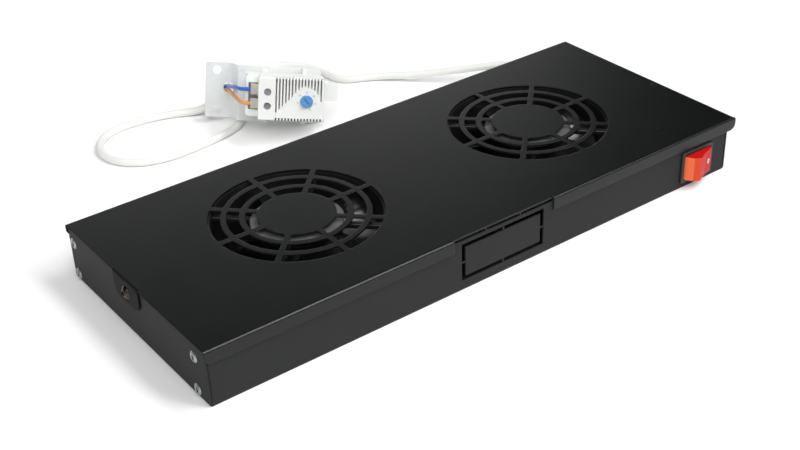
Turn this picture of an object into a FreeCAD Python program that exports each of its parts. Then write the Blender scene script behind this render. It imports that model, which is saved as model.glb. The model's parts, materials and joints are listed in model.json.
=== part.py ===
import FreeCAD, Part
import math
import os
from FreeCAD import Vector as V

# Rack fan tray, millimetres. Origin at the middle of the tray's underside, +X right along the front,
# +Y towards the rear, +Z up. The front wall with the rocker switch faces -Y.

# Sheet metal
SHEET = 1.2
BEND = 0.6
WIDTH = 440.0
TRAY_DEPTH = 178.0
HEIGHT = 41.0
LIP_GAP = 0.3
WALL_GAP = 0.3
SIDE_WALL_GAP = 1.5
LIP_DROP = 9.5
COVER_LEFT = 0.9
COVER_RIGHT = 4.6
LIP_EAR = 1.6
LIP_CORNER = 5.0
RETURN_GAP = 0.1
RETURN_FRONT = 24.0
RETURN_REAR = 14.0
RETURN_FOOT = 1.9

# Cut-away in the cover's front lip, and the scored window under it
CUTAWAY_MIDDLE = 4.2
CUTAWAY_WIDTH = 85.3
CUTAWAY_GAP = 2.0
BRIDGES = (-42.0, -15.6, 13.6)
BRIDGE_WIDTH = 1.2
WINDOW_MIDDLE = 4.0
WINDOW_WIDTH = 70.5
WINDOW_LOW = 7.0
WINDOW_HEIGHT = 28.0
WINDOW_SLOT = 3.2
WINDOW_TAB = 1.0

# Side tabs of the cover with their screws and nuts
TAB_MIDDLE = 5.0
TAB_WIDTH = 32.5
TAB_HEIGHT = 17.0
TAB_CORNER = 7.5
TAB_RELIEF = 1.2
COVER_SCREW_Y = 4.7
COVER_SCREW_Z = 32.4
COVER_SCREW_R = 2.0
COVER_SCREW_HEAD_R = 4.5
COVER_SCREW_HEAD = 2.6
COVER_SCREW_SOCKET = 3.0
COVER_SCREW_SOCKET_DEPTH = 1.5
SCREW_HOLE_GAP = 0.3
NUT_THREAD_GAP = 0.05
CLINCH_NUT_R = 4.2
CLINCH_NUT_LENGTH = 4.0

# Blind rivets
RIVET_HEAD_R = 3.9
RIVET_HEAD = 1.2
RIVET_R = 2.0
RIVET_BORE_R = 1.6
RIVET_BULB_R = 2.9
RIVET_BULB = 1.8
RIVET_FRONT_INSET = 13.2
RIVET_REAR_INSET = 6.5
RIVET_LEVELS = (5.9, 29.5)
RIVET_HOLE_GAP = 0.05

# Fans: places in the tray, frame, blades
FAN_LEFT_INSET = 124.3
FAN_RIGHT_INSET = 112.8
FAN_Y = 3.8
FAN_SIZE = 119.5
FAN_DEPTH = 38.0
FAN_CORNER = 5.0
FAN_RIM = 2.15
FAN_WALL = 1.9
FLANGE = 4.5
FAN_HOLE_EDGE = 7.25
FAN_HOLE_R = 2.15
SPIDER_GAP = 0.1
STRUT_WIDTH = 4.4
STRUT_DEPTH = 3.8
MOTOR_BASE_R = 30.5
MOTOR_BASE = 3.0
MOTOR_PLATE_R = 31.3
MOTOR_PLATE = 1.0
MOTOR_RECESS = 2.5
ROTOR_R = 30.0
ROTOR_WALL = 2.6
ROTOR_FLOOR = 2.5
ROTOR_LIFT = 3.5
ROTOR_TOP_GAP = 1.4
BLADE_TIP_GAP = 1.2
BLADE_COUNT = 5
BLADE_LOW = 4.0
BLADE_HIGH = 26.5
BLADE_THICKNESS = 2.0
BLADE_CHORDS = (32.0, 50.0, 70.0)
BLADE_PITCHES = (44.0, 34.0, 25.0)
BLADE_ROOT_DEPTH = 12.0
BLADE_TIP_EXCESS = 4.0
SHAFT_R = 2.5
BEARING_GAP = 0.03
BEARING_R = 5.0
BEARING_LENGTH = 4.0
BEARING_TUBE_WALL = 2.5
STATOR_GAP = 0.4
STATOR_CORE = 12.0
STATOR_TEETH = 6
WINDING_OVERHANG = 3.0

# Fan screws, countersunk from below
FAN_SCREW_R = 2.0
FAN_SCREW_HEAD_R = 3.3
FAN_SCREW_HEAD = 1.3
COUNTERSINK_GAP = 0.1
FAN_NUT_AF = 7.0
FAN_NUT = 3.2
SCREW_END = 1.5

# Round grilles: rings of slots between eight spokes
GRILLE_RINGS = ((26.5, 34.0), (38.0, 46.4), (50.3, 58.8))
SPOKES = 8
SPOKE_WIDTH = 3.8
SLOT_CORNER = 1.2

# Rocker switch
SWITCH_INSET = 32.5
SWITCH_Z = 16.9
BEZEL_WIDTH = 31.6
BEZEL_HEIGHT = 24.4
BEZEL = 2.0
BEZEL_CORNER = 1.2
SWITCH_BODY_WIDTH = 28.8
SWITCH_BODY_HEIGHT = 21.6
SWITCH_CUT_GAP = 0.1
SWITCH_FLOOR = 2.0
ROCKER_R = 13.5
ROCKER_GAP = 0.3
ROCKER_HEIGHT = 18.6
ROCKER_FACETS = (44.0, 65.0, 86.0)
ROCKER_VALLEY = 0.6
ROCKER_PIVOT = 4.0
ROCKER_TILT = 20.0
ROCKER_CHORD = 6.0
ROCKER_PIN_R = 1.5
ROCKER_PIN_GAP = 0.05
ROCKER_PIN_LENGTH = 1.0
SNAP_WEDGE = 0.9
BLADE_TERMINAL = (6.3, 0.8, 9.0)

# Terminal block and earth stud in the bay between the fans
BLOCK_X = 5.7
BLOCK_Y = 45.0
BLOCK_POLES = 4
BLOCK_PITCH = 8.0
BLOCK_SIDE = 1.0
BLOCK_DEPTH = 18.0
BLOCK_HEIGHT = 16.0
BLOCK_SCREW_R = 1.9
BLOCK_WELL_R = 2.1
BLOCK_ENTRY_R = 1.9
EARTH_X = 24.0
EARTH_Y = -20.0
EARTH_R = 2.0
EARTH_HEIGHT = 12.0
EARTH_NUT_AF = 7.0

# Cable gland in the rear wall, and the cord
GLAND_INSET = 24.0
GLAND_Z = 19.0
GLAND_R = 7.8
GLAND_HOLE_GAP = 0.2
GLAND_COLLAR = 3.5
GLAND_AF = 19.0
GLAND_DOME = 8.0
GLAND_NUT = 4.0
GLAND_TAIL = 0.5
CORD_R = 3.1
CORD_BORE_GAP = 0.1
LEAD_R = 1.8
ARC_SHARE = 0.45

# Bracket with the thermostat. Its own frame: x along the face, z up, -y towards the viewer,
# origin at the lower left corner of the flange's front face.
BRACKET_PLACE = (-39.5, 228.9, 5.8)
BRACKET_TURN = -30.1
BRACKET_LEAN = 18.5
BRACKET_DROP = 7.0
BRACKET_SHEET = 1.5
BRACKET_BEND = 1.0
BRACKET_HEIGHT = 44.0
FLANGE_WIDTH = 20.4
STEP_WIDTH = 5.0
STEP_DEPTH = 16.0
PLATE_END = 91.4
BRACKET_HOLE_R = 3.4
BRACKET_HOLE_X = 9.1
BRACKET_HOLE_PITCH = 31.75
WIRE_HOLE_R = 4.5
WIRE_HOLE_X = 19.0
WIRE_HOLE_Z = 24.0
RAIL_WIDTH = 35.0
RAIL_DEPTH = 7.5
RAIL_SHEET = 1.0
RAIL_LIP = 4.5
RAIL_MIDDLE = 63.0
RAIL_RIVET_R = 1.6
RAIL_RIVET_HEAD_R = 2.9
RAIL_RIVET_LEVELS = (14.0, 31.0)
BODY_LEFT = 32.0
BODY_RIGHT = 93.0
BODY_LOW = 7.0
BODY_HEIGHT = 33.0
BODY_BACK = 18.5
COVER_BACK = 34.0
CHAMBER_RISE = 4.0
TERMINAL_RISE = 9.5
WIRE_RISE = 6.5
COVER_START = 42.0
COVER_WALL = 1.6
COVER_FRONT = 57.0
VENT_COUNT = 15
VENT_PITCH = 2.45
VENT_WIDTH = 1.2
VENT_FIRST = 55.9
VENT_LONGEST = 26.7
VENT_LEAST = 6.0
VENT_LOWER = 2.2
DIAL_X = 79.2
DIAL_Z = 22.7
DIAL_R = 4.85
DIAL_RISE = 1.4
DIAL_GAP = 0.3
DIAL_STEM_R = 2.5
DIAL_STEM_GAP = 0.05
DIAL_STEM = 5.0
DIAL_CLEAR_R = 10.6
TERMINAL_X = 49.2
TERMINAL_LEVELS = (17.9, 28.8)
TERMINAL_SCREW_R = 2.4
ENTRY_LEFT = 34.5
ENTRY_LOW = 12.5
ENTRY_HIGH = 33.5
WIRE_R = 1.5
WIRE_CLEAR = 0.1
CORE_SHIFT = 1.75
BAR_LEFT = 36.2
BAR_GRIP = 3.0
BAR_HALF = 4.0
WIRE_BELOW = 0.3
CLIP_LENGTH = 14.0
CLIP_REACH = 12.0

# Derived levels
PLATE_LOW = HEIGHT - SHEET
WALL_TOP = PLATE_LOW - WALL_GAP
SIDE_WALL_TOP = PLATE_LOW - SIDE_WALL_GAP
OUTER_BEND = BEND + SHEET
FRONT = -TRAY_DEPTH / 2
REAR = TRAY_DEPTH / 2
COVER_FACE = REAR + LIP_GAP + SHEET
FAN_FLOOR = SHEET
FAN_LEFT_X = FAN_LEFT_INSET - WIDTH / 2
FAN_RIGHT_X = WIDTH / 2 - FAN_RIGHT_INSET
FANS = {"left": FAN_LEFT_X, "right": FAN_RIGHT_X}
FAN_BORE_R = FAN_SIZE / 2 - FAN_RIM
FAN_HOLE_PITCH = FAN_SIZE - 2 * FAN_HOLE_EDGE
ROTOR_TIP_R = FAN_BORE_R - BLADE_TIP_GAP
SWITCH_X = WIDTH / 2 - SWITCH_INSET
GLAND_X = WIDTH / 2 - GLAND_INSET
GLAND_END = REAR + GLAND_COLLAR + GLAND_DOME

# Cord from the gland to the thermostat's bracket, chosen by hand
CORD_ROUTE = [
    (GLAND_X, GLAND_END, GLAND_Z), (196, 113.5, 19), (190.8, 126.5, 17.6), (181, 135.9, 15.5),
    (168, 148.6, 12.5), (151.7, 163.4, 9), (135.7, 178.9, 6), (120.4, 195, 4.2), (106, 206.5, 3.3),
    (91, 212.3, 3.2), (83.8, 224.5, 3.2), (82.8, 240.5, 4), (76, 257, 5), (65, 270.5, 5),
    (50.5, 280, 4.5), (34, 284.5, 3.6), (18.5, 280.5, 3.2), (8.5, 268, 3.2), (2, 252, 3.2),
    (-4, 236.5, 3.2), (-9, 221, 3.2), (-16.5, 207.5, 3.2), (-29.5, 199, 3.2), (-46.5, 194.5, 3.2),
    (-67.8, 191.3, 3.2), (-87.2, 189.9, 3.2), (-106.3, 193, 3.2), (-123.2, 203.5, 3.2),
    (-131.8, 221.8, 3.2), (-128.6, 241.4, 3.2), (-116.5, 255.3, 3.2), (-99.1, 261, 3.2),
    (-79.6, 260.5, 3.2), (-61.8, 256.3, 3.2), (-47.5, 250.5, 3.3), (-36, 242.5, 4.4),
    (-26.8, 238.9, 9.5), (-19.7, 234.7, 18.5),
]

X, Y, Z = V(1, 0, 0), V(0, 1, 0), V(0, 0, 1)
parts = {}


# Small helpers

def box(x0, x1, y0, y1, z0, z1):
    return Part.makeBox(x1 - x0, y1 - y0, z1 - z0, V(x0, y0, z0))


def cyl(base, radius, height, axis=Z):
    return Part.makeCylinder(radius, height, V(*base), axis)


def join(shapes):
    shapes = list(shapes)
    return shapes[0].multiFuse(shapes[1:]).removeSplitter() if len(shapes) > 1 else shapes[0]


def round_edges(shape, radius, along):
    """Round the straight edges that run along one axis."""
    def is_along(edge):
        if not isinstance(edge.Curve, (Part.Line, Part.LineSegment)):
            return False
        way = edge.Vertexes[1].Point - edge.Vertexes[0].Point
        return way.Length > 1e-6 and abs(way.normalize().dot(along)) > 0.999
    return shape.makeFillet(radius, [edge for edge in shape.Edges if is_along(edge)])


def hexagon(base, across, height, axis=Z):
    """Hexagonal prism on one axis, from its base centre."""
    corner = across / 2 / math.cos(math.radians(30))
    ring = [V(corner * math.cos(math.radians(60 * i)), corner * math.sin(math.radians(60 * i)), 0)
            for i in range(7)]
    prism = Part.Face(Part.makePolygon(ring)).extrude(V(0, 0, height))
    prism.Placement = FreeCAD.Placement(V(*base), FreeCAD.Rotation(Z, axis))
    return prism


def turned(profile, base, axis=Z):
    """Solid of revolution from (radius, height) pairs, which run round the profile once."""
    ring = [V(r, 0, h) for r, h in profile]
    solid = Part.Face(Part.makePolygon(ring + ring[:1])).revolve(V(0, 0, 0), Z, 360)
    solid.Placement = FreeCAD.Placement(V(*base), FreeCAD.Rotation(Z, axis))
    return solid


def rounded_path(points, radii):
    """Edges of a run of straight lines whose inner corners are tangent arcs."""
    edges = []
    start = points[0]
    for i in range(1, len(points) - 1):
        into = (points[i] - points[i - 1]).normalize()
        away = (points[i + 1] - points[i]).normalize()
        turn = into.getAngle(away)
        radius = radii[i - 1]
        tangent = radius * math.tan(turn / 2)
        arc_start = points[i] - into * tangent
        arc_end = points[i] + away * tangent
        bisector = (away - into).normalize()
        centre = points[i] + bisector * (radius / math.cos(turn / 2))
        edges.append(Part.LineSegment(start, arc_start).toShape())
        edges.append(Part.Arc(arc_start, centre - bisector * radius, arc_end).toShape())
        start = arc_end
    edges.append(Part.LineSegment(start, points[-1]).toShape())
    return edges


def tube(name, route, radius, share=ARC_SHARE):
    """Round flex along a route; each arc is as large as its two runs allow."""
    points = [V(*p) for p in route]
    radii = []
    for i in range(1, len(points) - 1):
        into = points[i] - points[i - 1]
        away = points[i + 1] - points[i]
        radii.append(share * min(into.Length, away.Length) / math.tan(into.getAngle(away) / 2))
    wire = Part.Wire(rounded_path(points, radii))
    ring = Part.Wire(Part.Circle(points[0], points[1] - points[0], radius).toShape())
    solid = wire.makePipeShell([ring], True, True)
    expected = math.pi * radius ** 2 * wire.Length
    print(f"{name}: length {wire.Length:.1f}, least radius {min(radii):.1f}, "
          f"volume {solid.Volume:.0f} of {expected:.0f}, low {solid.BoundBox.ZMin:.2f}")
    return solid


def strip(points, sheet, bend, height):
    """Bent sheet from a polyline in plan; the thickness lies on the left of its direction."""
    def side(offset):
        line = []
        for i, point in enumerate(points):
            here = V(point[0], point[1], 0)
            ways = []
            if i > 0:
                ways.append((here - V(points[i - 1][0], points[i - 1][1], 0)).normalize())
            if i < len(points) - 1:
                ways.append((V(points[i + 1][0], points[i + 1][1], 0) - here).normalize())
            lefts = [V(-way.y, way.x, 0) for way in ways]
            mean = lefts[0] + lefts[-1]
            line.append(here + mean * (offset * 2 / mean.Length ** 2))
        return line
    near, far = side(0), side(sheet)
    near_radii, far_radii = [], []
    for i in range(1, len(points) - 1):
        into, away = near[i] - near[i - 1], near[i + 1] - near[i]
        turns_left = into.cross(away).z > 0
        near_radii.append(bend + sheet if turns_left else bend)
        far_radii.append(bend if turns_left else bend + sheet)
    first = rounded_path(near, near_radii)
    second = rounded_path(far, far_radii)
    caps = [Part.LineSegment(near[-1], far[-1]).toShape(), Part.LineSegment(far[0], near[0]).toShape()]
    outline = Part.Wire(Part.__sortEdges__(first + second + caps))
    return Part.Face(outline).extrude(V(0, 0, height))


# Grilles

def grille_slots(x, y, low, high):
    """Cutters for the three rings of slots of one round grille."""
    spokes = [box(-80, 80, -SPOKE_WIDTH / 2, SPOKE_WIDTH / 2, low, high) for _ in range(SPOKES // 2)]
    for i, spoke in enumerate(spokes):
        spoke.rotate(V(0, 0, 0), Z, 360 / SPOKES * i)
    cutters = []
    for inner, outer in GRILLE_RINGS:
        ring = cyl((0, 0, low), outer, high - low).cut(cyl((0, 0, low), inner, high - low))
        for slot in ring.cut(Part.makeCompound(spokes)).Solids:
            cutters.append(round_edges(slot, SLOT_CORNER, Z))
    slots = Part.makeCompound(cutters)
    slots.translate(V(x, y, 0))
    return slots


def fan_holes(radius, low, high):
    """Cylinders on the fans' mounting holes."""
    half = FAN_HOLE_PITCH / 2
    return [cyl((x + i * half, FAN_Y + j * half, low), radius, high - low)
            for x in FANS.values() for i in (-1, 1) for j in (-1, 1)]


# Base tray

def side_places():
    """Places of the blind rivets: side, y, z."""
    return [(side, y, z) for side in (-1, 1)
            for y in (FRONT + RIVET_FRONT_INSET, REAR - RIVET_REAR_INSET) for z in RIVET_LEVELS]


def base_tray():
    half = WIDTH / 2
    inner = half - SHEET - RETURN_GAP
    end = REAR - LIP_GAP
    # bottom with the two side walls
    outside = round_edges(box(-half, half, -end, end, 0, 2 * WALL_TOP), OUTER_BEND, Y)
    inside = round_edges(box(-half + SHEET, half - SHEET, -end, end, SHEET, 2 * WALL_TOP + SHEET), BEND, Y)
    sides = outside.cut(inside).common(box(-half, half, -end, end, 0, SIDE_WALL_TOP))
    # bottom bends of the front and rear walls
    outside = round_edges(box(-inner, inner, FRONT, REAR, 0, 20), OUTER_BEND, X)
    inside = round_edges(box(-inner, inner, FRONT + SHEET, REAR - SHEET, SHEET, 20 + SHEET), BEND, X)
    ends = outside.cut(inside).common(box(-inner, inner, FRONT, REAR, 0, RETURN_FOOT + 1))
    # front and rear walls with their return tabs behind the side walls
    outside = round_edges(box(-inner, inner, FRONT, REAR, RETURN_FOOT, WALL_TOP), OUTER_BEND, Z)
    hollow = box(-inner + SHEET, inner - SHEET, FRONT + SHEET, REAR - SHEET, RETURN_FOOT, WALL_TOP)
    ring = outside.cut(round_edges(hollow, BEND, Z))
    middle = box(-half, half, FRONT + RETURN_FRONT, REAR - RETURN_REAR, 0, HEIGHT)
    tray = join([sides, ends, ring.cut(middle)])
    # air intakes, fan screws, rivets
    cuts = [grille_slots(x, FAN_Y, -1, SHEET + 1) for x in FANS.values()]
    head = FAN_SCREW_HEAD_R + COUNTERSINK_GAP
    neck = FAN_SCREW_R + COUNTERSINK_GAP
    for hole in fan_holes(neck, -1, SHEET + 1):
        centre = hole.CenterOfMass
        cuts.append(hole)
        cuts.append(Part.makeCone(head, neck, FAN_SCREW_HEAD, V(centre.x, centre.y, 0)))
    for side, y, z in side_places():
        reach = 2 * SHEET + 2
        start = side * (half - reach + 1) if side > 0 else -half - 1
        cuts.append(cyl((start, y, z), RIVET_R + RIVET_HOLE_GAP, reach, X))
    # cover screws
    for side in (-1, 1):
        start = -half - 1 if side < 0 else half - SHEET - 1
        cuts.append(cyl((start, COVER_SCREW_Y, COVER_SCREW_Z), COVER_SCREW_R + SCREW_HOLE_GAP, SHEET + 2, X))
    # switch cut-out
    wide = SWITCH_BODY_WIDTH / 2 + SWITCH_CUT_GAP
    tall = SWITCH_BODY_HEIGHT / 2 + SWITCH_CUT_GAP
    cuts.append(box(SWITCH_X - wide, SWITCH_X + wide, FRONT - 1, FRONT + SHEET + 1,
                    SWITCH_Z - tall, SWITCH_Z + tall))
    # scored window, held by a small tab on each side
    low, high = WINDOW_LOW, WINDOW_LOW + WINDOW_HEIGHT
    left, right = WINDOW_MIDDLE - WINDOW_WIDTH / 2, WINDOW_MIDDLE + WINDOW_WIDTH / 2
    frame = box(left, right, FRONT - 1, FRONT + SHEET + 1, low, high)
    frame = frame.cut(box(left + WINDOW_SLOT, right - WINDOW_SLOT, FRONT - 2, FRONT + SHEET + 2,
                          low + WINDOW_SLOT, high - WINDOW_SLOT))
    half_tab, middle_z = WINDOW_TAB / 2, (low + high) / 2
    frame = frame.cut(box(left - 1, right + 1, FRONT - 2, FRONT + SHEET + 2,
                          middle_z - half_tab, middle_z + half_tab))
    frame = frame.cut(box(WINDOW_MIDDLE - half_tab, WINDOW_MIDDLE + half_tab, FRONT - 2, FRONT + SHEET + 2,
                          low - 1, high + 1))
    cuts.append(frame)
    # lowered wall top under the cover's cut-away, with three small bridges left standing
    start = CUTAWAY_MIDDLE - CUTAWAY_WIDTH / 2
    notch = box(start, start + CUTAWAY_WIDTH, FRONT - 1, FRONT + SHEET + 0.5, WALL_TOP - CUTAWAY_GAP, HEIGHT)
    for bridge in BRIDGES:
        x = CUTAWAY_MIDDLE + bridge
        notch = notch.cut(box(x, x + BRIDGE_WIDTH, FRONT - 2, FRONT + SHEET + 2, 0, 2 * HEIGHT))
    cuts.append(notch)
    # gland, terminal block and earth stud
    cuts.append(cyl((GLAND_X, REAR - SHEET - 1, GLAND_Z), GLAND_R + GLAND_HOLE_GAP, SHEET + 2, Y))
    cuts.append(cyl((EARTH_X, EARTH_Y, -1), EARTH_R, SHEET + 2))
    return tray.cut(Part.makeCompound(cuts))


def body_rivets():
    solids = []
    grip = 2 * SHEET + RETURN_GAP
    for side, y, z in side_places():
        profile = [(RIVET_BORE_R, RIVET_HEAD * 0.55), (RIVET_BORE_R + 0.5, RIVET_HEAD),
                   (RIVET_HEAD_R * 0.72, RIVET_HEAD * 0.85), (RIVET_HEAD_R, 0.25), (RIVET_HEAD_R, 0),
                   (RIVET_R, 0), (RIVET_R, -grip), (RIVET_BULB_R, -grip),
                   (RIVET_BULB_R, -grip - RIVET_BULB), (RIVET_BORE_R, -grip - RIVET_BULB - 0.5)]
        solids.append(turned(profile, (side * WIDTH / 2, y, z), V(side, 0, 0)))
    return Part.makeCompound(solids)


# Top cover

def cover_tab(side):
    """Tab that folds down outside one side wall."""
    face = WIDTH / 2 + LIP_GAP + SHEET
    y0, y1 = TAB_MIDDLE - TAB_WIDTH / 2, TAB_MIDDLE + TAB_WIDTH / 2
    reach = 12.0
    outside = round_edges(box(face - reach, face, y0, y1, HEIGHT - TAB_HEIGHT, HEIGHT), OUTER_BEND, Y)
    outside = outside.common(box(face - reach + OUTER_BEND, face, y0, y1, HEIGHT - TAB_HEIGHT, HEIGHT))
    outside = outside.fuse(box(face - OUTER_BEND, face, y0, y1, HEIGHT - TAB_HEIGHT, HEIGHT - TAB_HEIGHT / 2))
    hollow = box(face - 2 * reach, face - SHEET, y0, y1, 0, PLATE_LOW)
    tab = outside.cut(round_edges(hollow, BEND, Y))
    lower = TAB_CORNER
    mask = round_edges(box(face - reach, face + 1, y0, y1, HEIGHT - TAB_HEIGHT, HEIGHT + lower), lower, X)
    tab = tab.common(mask)
    tab = tab.cut(cyl((face - SHEET - 1, COVER_SCREW_Y, COVER_SCREW_Z), COVER_SCREW_R + SCREW_HOLE_GAP,
                      SHEET + 2, X))
    return tab if side > 0 else tab.mirror(V(0, 0, 0), X)


def top_cover():
    left, right = -WIDTH / 2 - COVER_LEFT, WIDTH / 2 + COVER_RIGHT + LIP_EAR
    low = HEIGHT - LIP_DROP
    face = COVER_FACE
    outside = round_edges(box(left, right, -face, face, low - LIP_DROP, HEIGHT), OUTER_BEND, X)
    hollow = box(left, right, -face + SHEET, face - SHEET, low - 2 * LIP_DROP, PLATE_LOW)
    shell = outside.cut(round_edges(hollow, BEND, X))
    # rounded lower corners of both lips, and the upper corner of the front lip's ear
    shell = shell.common(round_edges(box(left, right, -face, face, low, HEIGHT + LIP_CORNER), LIP_CORNER, Y))
    shell = shell.common(round_edges(box(left - LIP_EAR, right, -face, face, 0, HEIGHT), LIP_EAR, Y))
    shell = shell.cut(box(right - LIP_EAR, right + 1, FRONT - LIP_GAP, face + 1, 0, HEIGHT + 1))
    # cut-away over the scored window
    start = CUTAWAY_MIDDLE - CUTAWAY_WIDTH / 2
    cuts = [box(start, start + CUTAWAY_WIDTH, -COVER_FACE - 1, FRONT, low - 1, HEIGHT + 1)]
    # reliefs beside the side tabs
    y0, y1 = TAB_MIDDLE - TAB_WIDTH / 2, TAB_MIDDLE + TAB_WIDTH / 2
    root = WIDTH / 2 + LIP_GAP + SHEET - OUTER_BEND
    for side in (-1, 1):
        edges = sorted((side * root, side * (WIDTH / 2 + COVER_RIGHT + 1)))
        cuts.append(box(edges[0], edges[1], y0 - TAB_RELIEF, y1 + TAB_RELIEF, PLATE_LOW - 1, HEIGHT + 1))
        inner_edges = sorted((side * (root - TAB_RELIEF), side * (root + 1)))
        for y in (y0 - TAB_RELIEF, y1):
            cuts.append(box(inner_edges[0], inner_edges[1], y, y + TAB_RELIEF, PLATE_LOW - 1, HEIGHT + 1))
    cuts += [grille_slots(x, FAN_Y, PLATE_LOW - 1, HEIGHT + 1) for x in FANS.values()]
    plate = shell.cut(Part.makeCompound(cuts))
    return join([plate, cover_tab(-1), cover_tab(1)])


def cross_recess(radius, depth):
    """Cross cut for a screw head that points along +Z at the origin."""
    arm = radius * 0.62
    width = radius * 0.2
    return box(-arm, arm, -width / 2, width / 2, -depth, depth).fuse(
        box(-width / 2, width / 2, -arm, arm, -depth, depth))


def cover_screws():
    solids = []
    start = WIDTH / 2 + LIP_GAP + SHEET
    length = LIP_GAP + 2 * SHEET + CLINCH_NUT_LENGTH + 0.5
    for side in (-1, 1):
        sphere_r = (COVER_SCREW_HEAD_R ** 2 + COVER_SCREW_HEAD ** 2) / 2 / COVER_SCREW_HEAD
        dome = Part.makeSphere(sphere_r, V(0, 0, COVER_SCREW_HEAD - sphere_r))
        head = dome.common(cyl((0, 0, 0), COVER_SCREW_HEAD_R, COVER_SCREW_HEAD + 1))
        bottom = COVER_SCREW_HEAD - COVER_SCREW_SOCKET_DEPTH
        socket = hexagon((0, 0, bottom), COVER_SCREW_SOCKET, COVER_SCREW_HEAD)
        screw = head.cut(socket).fuse(cyl((0, 0, -length), COVER_SCREW_R, length))
        screw.Placement = FreeCAD.Placement(V(side * start, COVER_SCREW_Y, COVER_SCREW_Z),
                                            FreeCAD.Rotation(Z, V(side, 0, 0)))
        solids.append(screw)
    return Part.makeCompound(solids)


def cover_clinch_nuts():
    solids = []
    for side in (-1, 1):
        base = (side * (WIDTH / 2 - SHEET), COVER_SCREW_Y, COVER_SCREW_Z)
        nut = cyl(base, CLINCH_NUT_R, CLINCH_NUT_LENGTH, V(-side, 0, 0))
        solids.append(nut.cut(cyl(base, COVER_SCREW_R + NUT_THREAD_GAP, CLINCH_NUT_LENGTH, V(-side, 0, 0))))
    return Part.makeCompound(solids)


# Fans, built round the fan's own axis and lifted into the tray

def placed_fan(shape, x):
    shape = shape.copy()
    shape.translate(V(x, FAN_Y, FAN_FLOOR))
    return shape


def motor_levels():
    """Heights of the motor base, its underside, the rotor's rim and the bearing tube."""
    plate_top = FAN_DEPTH - MOTOR_RECESS
    base_top = plate_top - MOTOR_PLATE
    base_low = base_top - MOTOR_BASE
    return base_top, base_low, base_low - ROTOR_TOP_GAP


def fan_frame():
    """Square housing: two flanges on a round barrel."""
    half = FAN_SIZE / 2
    flanges = [round_edges(box(-half, half, -half, half, z, z + FLANGE), FAN_CORNER, Z)
               for z in (0, FAN_DEPTH - FLANGE)]
    barrel_r = FAN_BORE_R + FAN_WALL
    barrel = cyl((0, 0, 0), barrel_r, FAN_DEPTH)
    shell = join(flanges + [barrel])
    flare = Part.makeCone(FAN_BORE_R + 1.2, FAN_BORE_R, 3.0)
    shell = shell.cut(cyl((0, 0, -1), FAN_BORE_R, FAN_DEPTH + 2)).cut(flare)
    for i in (-1, 1):
        for j in (-1, 1):
            place = (i * FAN_HOLE_PITCH / 2, j * FAN_HOLE_PITCH / 2, -1)
            shell = shell.cut(cyl(place, FAN_HOLE_R, FAN_DEPTH + 2))
    return shell


def fan_spider():
    """Four struts with the motor base and the bearing tube, set into the housing's bore."""
    base_top, base_low, _ = motor_levels()
    struts = []
    for i in range(4):
        strut = box(MOTOR_BASE_R - 3, FAN_BORE_R + 1, -STRUT_WIDTH / 2, STRUT_WIDTH / 2,
                    base_top - STRUT_DEPTH, base_top)
        strut = round_edges(strut, 1.0, X)
        strut.rotate(V(0, 0, 0), Z, 45 + 90 * i)
        struts.append(strut)
    motor_base = cyl((0, 0, base_low), MOTOR_BASE_R, MOTOR_BASE)
    tube_r = BEARING_R + BEARING_TUBE_WALL
    tube_low = ROTOR_LIFT + ROTOR_FLOOR + 1.0
    bearing_tube = cyl((0, 0, tube_low), tube_r, base_low - tube_low + 1)
    spider = join([motor_base, bearing_tube] + struts)
    spider = spider.common(cyl((0, 0, 0), FAN_BORE_R - SPIDER_GAP, FAN_DEPTH))
    return spider.cut(cyl((0, 0, tube_low), BEARING_R, base_low - tube_low))


def motor_plate():
    base_top = motor_levels()[0]
    edge = 0.3
    return turned([(0, 0), (MOTOR_PLATE_R, 0), (MOTOR_PLATE_R, MOTOR_PLATE - edge),
                   (MOTOR_PLATE_R - edge, MOTOR_PLATE), (0, MOTOR_PLATE)], (0, 0, base_top))


def fan_bearings():
    _, base_low, _ = motor_levels()
    tube_low = ROTOR_LIFT + ROTOR_FLOOR + 1.0
    rings = []
    for z in (tube_low, base_low - BEARING_LENGTH):
        ring = cyl((0, 0, z), BEARING_R, BEARING_LENGTH)
        rings.append(ring.cut(cyl((0, 0, z), SHAFT_R + BEARING_GAP, BEARING_LENGTH)))
    return Part.makeCompound(rings)


def fan_shaft():
    _, base_low, _ = motor_levels()
    return cyl((0, 0, ROTOR_LIFT), SHAFT_R, base_low - 0.5 - ROTOR_LIFT)


def fan_stator():
    """Laminated core with its teeth and the winding between them, on the bearing tube."""
    tube_r = BEARING_R + BEARING_TUBE_WALL
    outer = ROTOR_R - ROTOR_WALL - STATOR_GAP
    low = ROTOR_LIFT + ROTOR_FLOOR + 1.0 + WINDING_OVERHANG + 1.5
    core = cyl((0, 0, low), outer, STATOR_CORE)
    for i in range(STATOR_TEETH):
        slot = box(outer - 2, outer + 1, -1.2, 1.2, low - 1, low + STATOR_CORE + 1)
        slot.rotate(V(0, 0, 0), Z, 360 / STATOR_TEETH * i)
        core = core.cut(slot)
    winding = cyl((0, 0, low - WINDING_OVERHANG), outer - 3, STATOR_CORE + 2 * WINDING_OVERHANG)
    return core.fuse(winding).cut(cyl((0, 0, 0), tube_r, FAN_DEPTH))


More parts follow.
